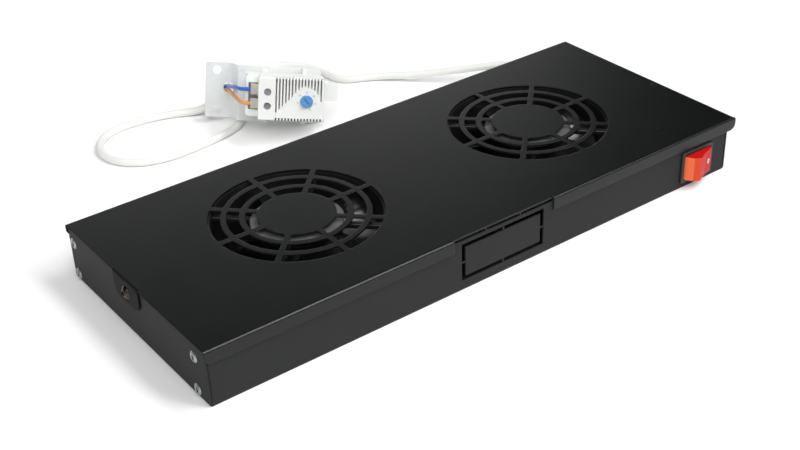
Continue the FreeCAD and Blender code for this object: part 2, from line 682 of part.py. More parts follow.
def blade_section(radius, chord, pitch):
    """Cambered section in the plane at one radius, as a closed wire of four edges."""
    camber = chord * 0.09
    half, thick, rim = chord / 2, BLADE_THICKNESS / 2, 0.4
    middle = (BLADE_LOW + BLADE_HIGH) / 2
    angle = math.radians(pitch)

    def place(along, across):
        return V(radius, along * math.cos(angle) - across * math.sin(angle),
                 middle + along * math.sin(angle) + across * math.cos(angle))
    upper = Part.Arc(place(-half, rim), place(0, camber + thick), place(half, rim)).toShape()
    lower = Part.Arc(place(half, -rim), place(0, camber - thick), place(-half, -rim)).toShape()
    nose = Part.LineSegment(place(half, rim), place(half, -rim)).toShape()
    tail = Part.LineSegment(place(-half, -rim), place(-half, rim)).toShape()
    return Part.Wire([upper, nose, lower, tail])


def fan_rotor():
    """Rotor cup with twisted blades round it; the blades end on a round tip."""
    rim = motor_levels()[2]
    inner, floor = ROTOR_R - ROTOR_WALL, ROTOR_LIFT + ROTOR_FLOOR
    cup = turned([(SHAFT_R, ROTOR_LIFT), (ROTOR_R - 1.5, ROTOR_LIFT), (ROTOR_R, ROTOR_LIFT + 1.5),
                  (ROTOR_R, rim), (inner, rim), (inner, floor), (SHAFT_R, floor)], (0, 0, 0))
    stations = (ROTOR_R - BLADE_ROOT_DEPTH, (ROTOR_R + ROTOR_TIP_R) / 2, ROTOR_TIP_R + BLADE_TIP_EXCESS)
    sections = [blade_section(*station) for station in zip(stations, BLADE_CHORDS, BLADE_PITCHES)]
    blade = Part.makeLoft(sections, True)
    span = BLADE_HIGH - BLADE_LOW
    ring = cyl((0, 0, BLADE_LOW), ROTOR_TIP_R, span).cut(cyl((0, 0, BLADE_LOW), ROTOR_R - 0.5, span))
    blade = blade.common(ring)
    blades = []
    for i in range(BLADE_COUNT):
        turned_blade = blade.copy()
        turned_blade.rotate(V(0, 0, 0), Z, 360 / BLADE_COUNT * i)
        blades.append(turned_blade)
    return cup.multiFuse(blades)


def fan_screws():
    solids = []
    length = FLANGE + SHEET + FAN_NUT + SCREW_END
    for hole in fan_holes(FAN_SCREW_R, 0, length):
        centre = hole.CenterOfMass
        head = Part.makeCone(FAN_SCREW_HEAD_R, FAN_SCREW_R, FAN_SCREW_HEAD, V(centre.x, centre.y, 0))
        cross = cross_recess(FAN_SCREW_HEAD_R, 0.8)
        cross.translate(V(centre.x, centre.y, 0))
        solids.append(head.fuse(hole).cut(cross))
    return Part.makeCompound(solids)


def fan_nuts():
    solids = []
    for hole in fan_holes(FAN_SCREW_R + NUT_THREAD_GAP, FAN_FLOOR + FLANGE, FAN_FLOOR + FLANGE + FAN_NUT):
        centre = hole.CenterOfMass
        nut = hexagon((centre.x, centre.y, FAN_FLOOR + FLANGE), FAN_NUT_AF, FAN_NUT)
        solids.append(nut.cut(hole))
    return Part.makeCompound(solids)


# Rocker switch, rocking about an upright axis

def switch_housing():
    face = FRONT - BEZEL
    pivot = face + ROCKER_PIVOT
    pocket_r = ROCKER_R + ROCKER_GAP
    back = pivot + pocket_r + SWITCH_FLOOR
    half_w, half_h = BEZEL_WIDTH / 2, BEZEL_HEIGHT / 2
    bezel = box(SWITCH_X - half_w, SWITCH_X + half_w, face, FRONT, SWITCH_Z - half_h, SWITCH_Z + half_h)
    bezel = round_edges(bezel, BEZEL_CORNER, Y)
    front_edges = [e for e in bezel.Edges if abs(e.BoundBox.YMax - face) < 1e-6]
    bezel = bezel.makeFillet(0.7, front_edges)
    wide, tall = SWITCH_BODY_WIDTH / 2, SWITCH_BODY_HEIGHT / 2
    body = box(SWITCH_X - wide, SWITCH_X + wide, FRONT - 0.5, back, SWITCH_Z - tall, SWITCH_Z + tall)
    # snap wedges behind the panel, above and below
    wedges = []
    for side in (-1, 1):
        root = SWITCH_Z + side * tall
        tip = root + side * SNAP_WEDGE
        near, far = FRONT + SHEET + 0.1, FRONT + SHEET + 7
        ring = [V(0, near, root - side * 0.5), V(0, near, tip), V(0, far, root), V(0, far, root - side * 0.5)]
        wedge = Part.Face(Part.makePolygon(ring + ring[:1])).extrude(V(8, 0, 0))
        wedge.translate(V(SWITCH_X - 4, 0, 0))
        wedges.append(wedge)
    housing = join([bezel, body] + wedges)
    room = ROCKER_HEIGHT / 2 + ROCKER_GAP
    pocket = box(SWITCH_X - pocket_r, SWITCH_X + pocket_r, face - 1, pivot, SWITCH_Z - room, SWITCH_Z + room)
    pocket = pocket.fuse(cyl((SWITCH_X, pivot, SWITCH_Z - room), pocket_r, 2 * room))
    pins = cyl((SWITCH_X, pivot, SWITCH_Z - room - ROCKER_PIN_LENGTH), ROCKER_PIN_R + ROCKER_PIN_GAP,
               2 * (room + ROCKER_PIN_LENGTH))
    return housing.cut(pocket.fuse(pins))


def switch_rocker():
    """Rocker with faceted ends and a shallow valley, at rest with its right half pressed."""
    pivot_y = FRONT - BEZEL + ROCKER_PIVOT
    facets = [math.radians(angle) for angle in ROCKER_FACETS]
    crest = ROCKER_R * math.cos(facets[0])
    inner = math.sqrt(ROCKER_R ** 2 - ROCKER_CHORD ** 2)
    right = [V(ROCKER_R * math.sin(angle), -ROCKER_R * math.cos(angle), 0) for angle in facets]
    left = [V(-point.x, point.y, 0) for point in reversed(right)]
    ring = [V(-inner, ROCKER_CHORD, 0)] + left + [V(0, ROCKER_VALLEY - crest, 0)] + right
    ring.append(V(inner, ROCKER_CHORD, 0))
    rocker = Part.Face(Part.makePolygon(ring + ring[:1])).extrude(V(0, 0, ROCKER_HEIGHT))
    pin = cyl((0, 0, -ROCKER_PIN_LENGTH), ROCKER_PIN_R, ROCKER_HEIGHT + 2 * ROCKER_PIN_LENGTH)
    rocker = rocker.fuse(pin)
    rocker.rotate(V(0, 0, 0), Z, ROCKER_TILT)
    rocker.translate(V(SWITCH_X, pivot_y, SWITCH_Z - ROCKER_HEIGHT / 2))
    return rocker


def switch_back():
    return FRONT - BEZEL + ROCKER_PIVOT + ROCKER_R + ROCKER_GAP + SWITCH_FLOOR


def switch_terminals():
    width, thick, length = BLADE_TERMINAL
    back = switch_back()
    blades = []
    for x in (-9.0, 0.0, 9.0):
        for z in (-5.0, 5.0):
            blade = box(SWITCH_X + x - width / 2, SWITCH_X + x + width / 2, back, back + length,
                        SWITCH_Z + z - thick / 2, SWITCH_Z + z + thick / 2)
            blades.append(blade.cut(cyl((SWITCH_X + x, back + length - 3, SWITCH_Z + z - 1), 0.9, 2)))
    return Part.makeCompound(blades)


# Terminal block, earth stud

def block_size():
    length = BLOCK_POLES * BLOCK_PITCH + 2 * BLOCK_SIDE
    return BLOCK_X - length / 2, BLOCK_X + length / 2


def block_poles():
    x0 = block_size()[0] + BLOCK_SIDE + BLOCK_PITCH / 2
    return [x0 + BLOCK_PITCH * i for i in range(BLOCK_POLES)]


def terminal_block():
    x0, x1 = block_size()
    y0, y1 = BLOCK_Y - BLOCK_DEPTH / 2, BLOCK_Y + BLOCK_DEPTH / 2
    top = SHEET + BLOCK_HEIGHT
    body = round_edges(box(x0, x1, y0, y1, SHEET, top), 1.0, Z)
    step = 4.0
    body = body.cut(box(x0 - 1, x1 + 1, y0 - 1, y0 + step, top - step, top + 1))
    body = body.cut(box(x0 - 1, x1 + 1, y1 - step, y1 + 1, top - step, top + 1))
    for x in block_poles():
        body = body.cut(cyl((x, BLOCK_Y, top - 6), BLOCK_WELL_R, 7))
        body = body.cut(cyl((x, y0 - 1, SHEET + 6), BLOCK_ENTRY_R, 6, Y))
    return body


def terminal_screws():
    top = SHEET + BLOCK_HEIGHT
    screws = []
    for x in block_poles():
        slot = box(x - 3, x + 3, BLOCK_Y - 0.3, BLOCK_Y + 0.3, top - 2.6, top)
        screws.append(cyl((x, BLOCK_Y, top - 6), BLOCK_SCREW_R, 4.2).cut(slot))
    return Part.makeCompound(screws)


def earth_stud():
    head = cyl((EARTH_X, EARTH_Y, 0), EARTH_R, EARTH_HEIGHT)
    return head.fuse(cyl((EARTH_X, EARTH_Y, SHEET), EARTH_R + 2.0, 1.0))


def earth_nut():
    low = SHEET + 1.0
    nut = hexagon((EARTH_X, EARTH_Y, low), EARTH_NUT_AF, FAN_NUT)
    return nut.cut(cyl((EARTH_X, EARTH_Y, low), EARTH_R + NUT_THREAD_GAP, FAN_NUT))


# Gland and cords

def cable_gland():
    bore = CORD_R + CORD_BORE_GAP
    inside = REAR - SHEET - GLAND_NUT - GLAND_TAIL
    body = cyl((GLAND_X, inside, GLAND_Z), GLAND_R, REAR - inside, Y)
    body = body.fuse(hexagon((GLAND_X, REAR, GLAND_Z), GLAND_AF, GLAND_COLLAR, Y))
    return body.cut(cyl((GLAND_X, inside - 1, GLAND_Z), bore, GLAND_END - inside + 2, Y))


def gland_dome_nut():
    start = REAR + GLAND_COLLAR
    bore = CORD_R + CORD_BORE_GAP
    outer = GLAND_AF / 2
    length = GLAND_DOME
    dome = turned([(bore, 0), (outer, 0), (outer, length * 0.5), (outer - 1.2, length * 0.78),
                   (bore + 1.6, length), (bore, length)], (GLAND_X, start, GLAND_Z), Y)
    skirt = hexagon((GLAND_X, start, GLAND_Z), GLAND_AF, length * 0.55, Y)
    return dome.fuse(skirt).cut(cyl((GLAND_X, start - 1, GLAND_Z), bore, length + 2, Y))


def gland_locknut():
    start = REAR - SHEET - GLAND_NUT
    nut = hexagon((GLAND_X, start, GLAND_Z), GLAND_AF, GLAND_NUT, Y)
    return nut.cut(cyl((GLAND_X, start - 1, GLAND_Z), GLAND_R + NUT_THREAD_GAP, GLAND_NUT + 2, Y))


def inner_cord():
    y1 = BLOCK_Y + BLOCK_DEPTH / 2
    route = [(GLAND_X, GLAND_END, GLAND_Z), (GLAND_X, REAR - 12, GLAND_Z), (189, 70.5, 17), (170, 70, 12),
             (140, 73.5, 8.5), (105, 72.5, 7), (72, 74, 7), (44, 72.5, 7), (24, 69, 7), (12, y1 + 10, 7),
             (8, y1 + 6, 7), (8, y1, 7)]
    return tube("inner_cord", route, CORD_R)


def fan_lead(side):
    y0 = BLOCK_Y - BLOCK_DEPTH / 2
    half = FAN_SIZE / 2
    poles = block_poles()
    if side == "left":
        x = FANS[side] + half
        route = [(x, 8, 9), (x + 7, 10, 8), (x + 15, 18, 7), (poles[0] - 3, 27, 7), (poles[0], 31, 7.2),
                 (poles[0], y0, 7.2)]
    else:
        x = FANS[side] - half
        route = [(x, 8, 9), (x - 8, 10, 8), (x - 17, 18, 7), (poles[3] + 3, 27, 7), (poles[3], 31, 7.2),
                 (poles[3], y0, 7.2)]
    return tube(side + "_fan_lead", route, LEAD_R)


def switch_lead():
    y0 = BLOCK_Y - BLOCK_DEPTH / 2
    start = switch_back() + BLADE_TERMINAL[2]
    x = block_poles()[1]
    route = [(SWITCH_X, start, SWITCH_Z), (SWITCH_X - 1, start + 9, 15), (SWITCH_X - 11, start + 12, 11),
             (172, -58, 8.5), (162, -68, 7), (135, -72, 6), (100, -70.5, 6), (65, -72, 6), (38, -66, 6),
             (20, -48, 6), (10, -22, 6), (5, 6, 6.5), (x + 0.8, 24, 7), (x, 30, 7.2), (x, y0, 7.2)]
    return tube("switch_lead", route, LEAD_R)


# Bracket and thermostat, in the bracket's own frame

def bracket_frame():
    spin = FreeCAD.Rotation(Z, BRACKET_TURN)
    lean = FreeCAD.Rotation(X, -BRACKET_LEAN)
    drop = FreeCAD.Rotation(Y, BRACKET_DROP)
    return FreeCAD.Placement(V(*BRACKET_PLACE), spin.multiply(lean).multiply(drop))


def placed(shape):
    shape = shape.copy()
    shape.Placement = bracket_frame().multiply(shape.Placement)
    return shape


def mounting_bracket():
    points = [(0, 0), (FLANGE_WIDTH, 0), (FLANGE_WIDTH + STEP_WIDTH, -STEP_DEPTH), (PLATE_END, -STEP_DEPTH)]
    plate = strip(points, BRACKET_SHEET, BRACKET_BEND, BRACKET_HEIGHT)
    mask = round_edges(box(0, PLATE_END, -40, 20, 0, BRACKET_HEIGHT), 2.0, Y)
    plate = plate.common(mask)
    for step in (-0.5, 0.5):
        z = BRACKET_HEIGHT / 2 + step * BRACKET_HOLE_PITCH
        plate = plate.cut(cyl((BRACKET_HOLE_X, -2, z), BRACKET_HOLE_R, BRACKET_SHEET + 4, Y))
    plate = plate.cut(cyl((WIRE_HOLE_X, -7, WIRE_HOLE_Z), WIRE_HOLE_R, 12, Y))
    for z in RAIL_RIVET_LEVELS:
        plate = plate.cut(cyl((RAIL_MIDDLE, -STEP_DEPTH - 1, z), RAIL_RIVET_R, BRACKET_SHEET + 2, Y))
    return plate


def din_rail():
    half = RAIL_WIDTH / 2
    lip_y = -STEP_DEPTH - RAIL_DEPTH
    web_y = -STEP_DEPTH - RAIL_SHEET
    left, right = RAIL_MIDDLE - half, RAIL_MIDDLE + half
    points = [(left, lip_y), (left + RAIL_LIP, lip_y), (left + RAIL_LIP, web_y), (right - RAIL_LIP, web_y),
              (right - RAIL_LIP, lip_y), (right, lip_y)]
    rail = strip(points, RAIL_SHEET, 0.4, BRACKET_HEIGHT)
    for z in RAIL_RIVET_LEVELS:
        rail = rail.cut(cyl((RAIL_MIDDLE, web_y - 1, z), RAIL_RIVET_R, RAIL_SHEET + 2, Y))
    return rail


def rail_rivets():
    solids = []
    front = -STEP_DEPTH - RAIL_SHEET
    back = -STEP_DEPTH + BRACKET_SHEET
    for z in RAIL_RIVET_LEVELS:
        profile = [(0, -1.2), (RAIL_RIVET_HEAD_R * 0.6, -1.1), (RAIL_RIVET_HEAD_R, 0), (RAIL_RIVET_R, 0),
                   (RAIL_RIVET_R, back - front), (RAIL_RIVET_HEAD_R * 0.8, back - front),
                   (RAIL_RIVET_HEAD_R * 0.7, back - front + 0.8), (0, back - front + 0.8)]
        solids.append(turned(profile, (RAIL_MIDDLE, front, z), Y))
    return Part.makeCompound(solids)


def thermostat_base():
    """Rear housing with its claw on the rail and the wiring chamber at its left end."""
    back = -STEP_DEPTH - RAIL_DEPTH
    top = BODY_LOW + BODY_HEIGHT
    body = box(BODY_LEFT, BODY_RIGHT, -COVER_BACK - CHAMBER_RISE, back, BODY_LOW, top)
    body = round_edges(body, 3.0, Y)
    left = [e for e in body.Edges if abs(e.BoundBox.XMax - BODY_LEFT) < 1e-6 and e.Length > 5]
    body = body.makeFillet(1.5, left)
    # recess under the front cover, so that the cover seats on a step
    body = body.cut(box(COVER_START, BODY_RIGHT + 1, -COVER_BACK - 9, -COVER_BACK, 0, BRACKET_HEIGHT))
    # wiring chamber, open to the front and to the terminals
    body = body.cut(box(ENTRY_LEFT, COVER_START, -COVER_BACK - 9, -COVER_BACK + 4, ENTRY_LOW, ENTRY_HIGH))
    # fixed claw round the rail's left lip
    lip = RAIL_MIDDLE - RAIL_WIDTH / 2
    gap = 0.3
    behind = back + RAIL_SHEET + gap
    claw = box(lip - 4, lip - gap, back - 0.5, behind + 1.6, BODY_LOW + 6, top - 6)
    hook = box(lip - 1, lip + 2.5, behind, behind + 1.6, BODY_LOW + 6, top - 6)
    return join([body, claw, hook])


def vent_depth(x):
    """Length of a vent from the cover's top edge: a slant, then an arch round the dial."""
    dial_drop = BODY_LOW + BODY_HEIGHT - DIAL_Z
    slant = VENT_LONGEST - (x - VENT_FIRST)
    aside = abs(x - DIAL_X)
    if aside >= DIAL_CLEAR_R:
        return slant if x < DIAL_X else dial_drop
    arch = dial_drop - math.sqrt(DIAL_CLEAR_R ** 2 - aside ** 2)
    return max(min(slant, arch), VENT_LEAST) if x < DIAL_X else arch


def thermostat_cover():
    top = BODY_LOW + BODY_HEIGHT
    shell = box(COVER_START, BODY_RIGHT, -COVER_FRONT, -COVER_BACK, BODY_LOW, top)
    shell = round_edges(shell, 1.5, Y)
    front = [e for e in shell.Edges if abs(e.BoundBox.YMax + COVER_FRONT) < 1e-6]
    shell = shell.makeFillet(0.9, front)
    hollow = box(COVER_START + COVER_WALL, BODY_RIGHT - COVER_WALL, -COVER_FRONT + COVER_WALL,
                 -COVER_BACK + 1, BODY_LOW + COVER_WALL, top - COVER_WALL)
    shell = shell.cut(hollow)
    # window in the left wall for the two cores
    shell = shell.cut(box(COVER_START - 1, COVER_START + COVER_WALL + 1, -COVER_BACK - TERMINAL_RISE - 0.3,
                          -COVER_BACK + 1, ENTRY_LOW, ENTRY_HIGH))
    cuts = []
    for i in range(VENT_COUNT):
        x = VENT_FIRST + VENT_PITCH * i
        cuts.append(box(x - VENT_WIDTH / 2, x + VENT_WIDTH / 2, -COVER_FRONT - 1, -COVER_FRONT + 7,
                        top - vent_depth(x), top + 1))
        cuts.append(box(x - VENT_WIDTH / 2, x + VENT_WIDTH / 2, -COVER_FRONT - 1, -COVER_FRONT + 7,
                        BODY_LOW - 1, BODY_LOW + VENT_LOWER))
    for z in TERMINAL_LEVELS:
        cuts.append(cyl((TERMINAL_X, -COVER_FRONT - 1, z), TERMINAL_SCREW_R + 0.4, 5, Y))
    cuts.append(cyl((DIAL_X, -COVER_FRONT - 1, DIAL_Z), DIAL_STEM_R + DIAL_STEM_GAP, 5, Y))
    return shell.cut(Part.makeCompound(cuts))


def thermostat_dial():
    face = -COVER_FRONT - DIAL_GAP - DIAL_RISE
    knob = turned([(0, 0), (DIAL_R - 0.5, 0), (DIAL_R, 0.5), (DIAL_R, DIAL_RISE), (DIAL_STEM_R, DIAL_RISE),
                   (DIAL_STEM_R, DIAL_RISE + DIAL_GAP + DIAL_STEM), (0, DIAL_RISE + DIAL_GAP + DIAL_STEM)],
                  (DIAL_X, face, DIAL_Z), Y)
    slot = box(-DIAL_R * 0.62, DIAL_R * 0.62, face - 1, face + 0.9, -0.5, 0.5)
    slot.rotate(V(0, 0, 0), Y, 45)
    slot.translate(V(DIAL_X, 0, DIAL_Z))
    return knob.cut(slot)


def terminal_carrier():
    """Brass terminal bars under the two terminal screws, on the rear housing."""
    bars = []
    for z in TERMINAL_LEVELS:
        bar = box(BAR_LEFT, TERMINAL_X + BAR_HALF, -COVER_BACK - TERMINAL_RISE, -COVER_BACK,
                  z - BAR_HALF, z + BAR_HALF)
        hole = cyl((BAR_LEFT - 1, -COVER_BACK - WIRE_RISE, z - WIRE_BELOW), WIRE_R + WIRE_CLEAR,
                   2 * BAR_GRIP + 1, X)
        bars.append(bar.cut(hole))
    return Part.makeCompound(bars)


def terminal_screws_small():
    screws = []
    seat = -COVER_BACK - TERMINAL_RISE
    for z in TERMINAL_LEVELS:
        head = cyl((TERMINAL_X, -COVER_FRONT + 2.2, z), TERMINAL_SCREW_R, COVER_FRONT - 2.2 + seat, Y)
        slot = box(-3, 3, -COVER_FRONT, -COVER_FRONT + 3.2, -0.4, 0.4)
        slot.rotate(V(0, 0, 0), Y, 20)
        slot.translate(V(TERMINAL_X, 0, z))
        screws.append(head.cut(slot))
    return Part.makeCompound(screws)


def rail_clip():
    """Sliding foot that grips the rail's right lip and stands out at the body's right end."""
    back = -STEP_DEPTH - RAIL_DEPTH
    lip = RAIL_MIDDLE + RAIL_WIDTH / 2
    high = BODY_LOW + BODY_HEIGHT - 6
    low = high - CLIP_LENGTH
    gap = 0.3
    behind = back + RAIL_SHEET + gap
    end = BODY_RIGHT + CLIP_REACH
    bar = box(lip - 2.5, end, behind, behind + 2.0, low, high)
    riser = box(lip + gap, BODY_RIGHT - 1, back, behind + 2.0, low, high)
    foot = round_edges(box(BODY_RIGHT + 1, end, back - 5, behind + 2.0, low, high), 1.5, Y)
    return join([bar, riser, foot])


def core_wire(name, end_z, side):
    """One core, from the cord's end behind the flange through the wire hole to its terminal."""
    frame = bracket_frame().inverse()
    end, before = frame.multVec(V(*CORD_ROUTE[-1])), frame.multVec(V(*CORD_ROUTE[-2]))
    way = (end - before).normalize()
    shift = side * CORE_SHIFT
    start = end + way.cross(Y).normalize() * shift
    end_y = -COVER_BACK - WIRE_RISE
    hole_x, hole_z = WIRE_HOLE_X, WIRE_HOLE_Z
    route = [start, start + way * 4.2, V(hole_x - 1.2, 3.2, hole_z + shift - 0.4),
             V(hole_x - 0.3, -4.5, hole_z + shift), V(hole_x + 1.4, -14.5, hole_z + 0.6 + 1.3 * shift),
             V(hole_x + 4.4, -27.5, hole_z + 0.6 + 2.0 * shift),
             V(BAR_LEFT - 7.5, end_y + 1.0, end_z - 0.2 * shift), V(BAR_LEFT - 2.5, end_y, end_z),
             V(BAR_LEFT + BAR_GRIP, end_y, end_z)]
    return tube(name, route, WIRE_R)


# Build everything

parts["base_tray"] = base_tray()
parts["body_rivets"] = body_rivets()
parts["top_cover"] = top_cover()
parts["cover_screws"] = cover_screws()
parts["cover_clinch_nuts"] = cover_clinch_nuts()
FAN_PIECES = {"fan_frame": fan_frame(), "fan_spider": fan_spider(), "fan_motor_plate": motor_plate(),
              "fan_bearings": fan_bearings(), "fan_stator": fan_stator(), "fan_rotor": fan_rotor(),
              "fan_shaft": fan_shaft()}
for fan, fan_x in FANS.items():
    for piece, solid in FAN_PIECES.items():
        parts[fan + "_" + piece] = placed_fan(solid, fan_x)
    parts[fan + "_fan_lead"] = fan_lead(fan)
parts["fan_screws"] = fan_screws()
parts["fan_nuts"] = fan_nuts()
parts["switch_housing"] = switch_housing()
parts["switch_rocker"] = switch_rocker()
parts["switch_terminals"] = switch_terminals()
parts["switch_lead"] = switch_lead()
parts["terminal_block"] = terminal_block()
parts["terminal_screws"] = terminal_screws()
parts["earth_stud"] = earth_stud()
parts["earth_nut"] = earth_nut()
parts["cable_gland"] = cable_gland()
parts["gland_dome_nut"] = gland_dome_nut()
parts["gland_locknut"] = gland_locknut()
parts["inner_cord"] = inner_cord()
parts["sensor_cord"] = tube("sensor_cord", CORD_ROUTE, CORD_R)
parts["mounting_bracket"] = placed(mounting_bracket())
parts["din_rail"] = placed(din_rail())
parts["rail_rivets"] = placed(rail_rivets())
parts["thermostat_base"] = placed(thermostat_base())
parts["thermostat_cover"] = placed(thermostat_cover())
parts["thermostat_dial"] = placed(thermostat_dial())
parts["thermostat_terminals"] = placed(terminal_carrier())
parts["thermostat_screws"] = placed(terminal_screws_small())
parts["rail_clip"] = placed(rail_clip())
parts["wire_blue"] = placed(core_wire("wire_blue", TERMINAL_LEVELS[1] - WIRE_BELOW, 1))
parts["wire_brown"] = placed(core_wire("wire_brown", TERMINAL_LEVELS[0] - WIRE_BELOW, -1))

os.makedirs("parts", exist_ok=True)
for node, shape in parts.items():
    shape.exportStep("parts/" + node + ".step")
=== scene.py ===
import bpy
import bmesh
import json
import math
from mathutils import Matrix, Vector


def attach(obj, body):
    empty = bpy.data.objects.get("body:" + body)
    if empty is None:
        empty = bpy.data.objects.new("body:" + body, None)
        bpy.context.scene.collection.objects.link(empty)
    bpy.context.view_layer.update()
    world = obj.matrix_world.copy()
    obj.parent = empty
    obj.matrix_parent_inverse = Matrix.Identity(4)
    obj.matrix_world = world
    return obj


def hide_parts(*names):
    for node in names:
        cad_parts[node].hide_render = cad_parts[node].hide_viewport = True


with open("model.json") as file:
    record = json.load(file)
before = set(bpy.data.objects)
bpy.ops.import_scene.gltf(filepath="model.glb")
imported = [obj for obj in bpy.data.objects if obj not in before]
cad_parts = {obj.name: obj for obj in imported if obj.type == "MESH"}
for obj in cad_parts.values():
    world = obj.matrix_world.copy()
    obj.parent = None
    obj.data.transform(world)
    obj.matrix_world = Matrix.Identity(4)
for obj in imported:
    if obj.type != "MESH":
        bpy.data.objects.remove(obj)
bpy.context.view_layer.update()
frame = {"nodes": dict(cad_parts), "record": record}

# Rack fan tray, metres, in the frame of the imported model: +X right along the front, +Y rear, +Z up.
# Places and sizes of the small pieces below are in millimetres and are scaled by MM.

scene = bpy.context.scene
nodes = frame["nodes"]
MM = 0.001


# Camera, fitted to the tray's corners in the photograph

LENS = 60.574
SENSOR = 36.0
CLIP_NEAR = 0.05
CLIP_FAR = 60.0
CAMERA_PLACE = (-0.48747, -0.65076, 0.49857)
CAMERA_TURN = (58.24931, 1.77126, -37.09458)

eye = bpy.data.cameras.new("camera")
eye.lens = LENS
eye.sensor_width = SENSOR
eye.clip_start = CLIP_NEAR
eye.clip_end = CLIP_FAR
camera = bpy.data.objects.new("camera", eye)
camera.location = CAMERA_PLACE
camera.rotation_euler = [math.radians(turn) for turn in CAMERA_TURN]
scene.collection.objects.link(camera)
scene.camera = camera


# Sensor cord: a smooth spline with the route's own points

CORD_R = 0.0031
CORD_ROUND = 5
CORD_STEPS = 10
CORD_ROUTE = [
    (196, 100.5, 19), (196, 113.5, 19), (190.8, 126.5, 17.6), (181, 135.9, 15.5),
    (168, 148.6, 12.5), (151.7, 163.4, 9), (135.7, 178.9, 6), (120.4, 195, 4.2), (106, 206.5, 3.3),
    (91, 212.3, 3.2), (83.8, 224.5, 3.2), (82.8, 240.5, 4), (76, 257, 5), (65, 270.5, 5),
    (50.5, 280, 4.5), (34, 284.5, 3.6), (18.5, 280.5, 3.2), (8.5, 268, 3.2), (2, 252, 3.2),
    (-4, 236.5, 3.2), (-9, 221, 3.2), (-16.5, 207.5, 3.2), (-29.5, 199, 3.2), (-46.5, 194.5, 3.2),
    (-67.8, 191.3, 3.2), (-87.2, 189.9, 3.2), (-106.3, 193, 3.2), (-123.2, 203.5, 3.2),
    (-131.8, 221.8, 3.2), (-128.6, 241.4, 3.2), (-116.5, 255.3, 3.2), (-99.1, 261, 3.2),
    (-79.6, 260.5, 3.2), (-61.8, 256.3, 3.2), (-47.5, 250.5, 3.3), (-36, 242.5, 4.4),
    (-26.8, 238.9, 9.5), (-19.7, 234.7, 18.5),
]


def cord_curve(name, route, radius):
    """Round spline; its bevel is 1, so that each point's own radius is the cord's radius in metres."""
    data = bpy.data.curves.new(name, "CURVE")
    data.dimensions = "3D"
    data.bevel_depth = 1.0
    data.bevel_resolution = CORD_ROUND
    data.resolution_u = CORD_STEPS
    data.use_fill_caps = True
    spline = data.splines.new("NURBS")
    spline.points.add(len(route) - 1)
    for point, place in zip(spline.points, route):
        point.co = (place[0] * MM, place[1] * MM, place[2] * MM, 1)
        point.radius = radius
    spline.order_u = 3
    spline.use_endpoint_u = True
    piece = bpy.data.objects.new(name, data)
    scene.collection.objects.link(piece)
    return piece


cord = cord_curve("cord_sheath", CORD_ROUTE, CORD_R)
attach(cord, "tray")
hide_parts("sensor_cord")


# Materials: noise in object space, so that grain has the same size on every piece

SLOW_DETAIL = 4.0
EDGE_SAMPLES = 6
LEAST_ROUGH = 0.02
LEFT_STARTS = -0.4
LEFT_FULL = -0.95


def add_node(tree, kind, inputs, **settings):
    """Node with its settings. Each input takes a value, or the output that feeds it."""
    node = tree.nodes.new("ShaderNode" + kind)
    for key, value in settings.items():
        setattr(node, key, value)
    for key, value in inputs.items():
        if isinstance(value, bpy.types.NodeSocket):
            tree.links.new(value, node.inputs[key])
        else:
            node.inputs[key].default_value = value
    return node


def material(name, colour, rough, metal=0.0, level=0.5, grain=900.0, grain_depth=0.05, grain_detail=3.0,
             mottle=60.0, mottle_share=0.12, rough_share=0.08, edge=0.0, side_rough=0.0, left_painted_light=None):
    """A finish with fine relief, and a slow change of shade and gloss.

    Where edge is set, the coat rounds the edges. Where side_rough is set, faces that look along X are
    duller than the rest. Where the last argument is set, faces that look towards -X take that colour:
    this is painted light, a lighter and more orange side as if lit.
    """
    mat = bpy.data.materials.new(name)
    mat.use_nodes = True
    tree = mat.node_tree
    shader = tree.nodes["Principled BSDF"]
    place = tree.nodes.new("ShaderNodeTexCoord").outputs
    fine = add_node(tree, "TexNoise", {"Vector": place["Object"], "Scale": grain, "Detail": grain_detail})
    slow = add_node(tree, "TexNoise", {"Vector": place["Object"], "Scale": mottle, "Detail": SLOW_DETAIL})
    waver = slow.outputs["Fac"]

    bump = add_node(tree, "Bump", {"Height": fine.outputs["Fac"], "Distance": grain_depth * MM,
                                   "Strength": 1.0})
    if edge:
        rounding = add_node(tree, "Bevel", {"Radius": edge * MM}, samples=EDGE_SAMPLES)
        tree.links.new(rounding.outputs["Normal"], bump.inputs["Normal"])

    darker = (*[c * (1 - mottle_share) for c in colour], 1)
    lighter = (*[min(1.0, c * (1 + mottle_share)) for c in colour], 1)
    shade = add_node(tree, "Mix", {"A": darker, "B": lighter, "Factor": waver}, data_type="RGBA")
    facing = add_node(tree, "SeparateXYZ", {"Vector": place["Normal"]}) if left_painted_light or side_rough else None
    # Painted light: faces that look towards -X are mixed towards a lighter orange, as if lit from that side
    if left_painted_light:
        painted_light_mask = add_node(tree, "MapRange", {"Value": facing.outputs["X"], "From Min": LEFT_STARTS,
                                               "From Max": LEFT_FULL})
        shade = add_node(tree, "Mix", {"A": shade.outputs["Result"], "B": (*left_painted_light, 1),
                                       "Factor": painted_light_mask.outputs["Result"]}, data_type="RGBA")

    gloss = add_node(tree, "MapRange", {"Value": waver, "To Min": max(LEAST_ROUGH, rough - rough_share),
                                        "To Max": min(1.0, rough + rough_share)})
    dullness = gloss.outputs["Result"]
    if side_rough:
        sideways = add_node(tree, "Math", {0: facing.outputs["X"]}, operation="ABSOLUTE")
        share = add_node(tree, "Math", {0: sideways.outputs["Value"], 1: side_rough}, operation="MULTIPLY")
        duller = add_node(tree, "Math", {0: dullness, 1: share.outputs["Value"]}, operation="MAXIMUM")
        dullness = duller.outputs["Value"]

    tree.links.new(shade.outputs["Result"], shader.inputs["Base Color"])
    tree.links.new(dullness, shader.inputs["Roughness"])
    tree.links.new(bump.outputs["Normal"], shader.inputs["Normal"])
    shader.inputs["Metallic"].default_value = metal
    shader.inputs["Specular IOR Level"].default_value = level
    return mat


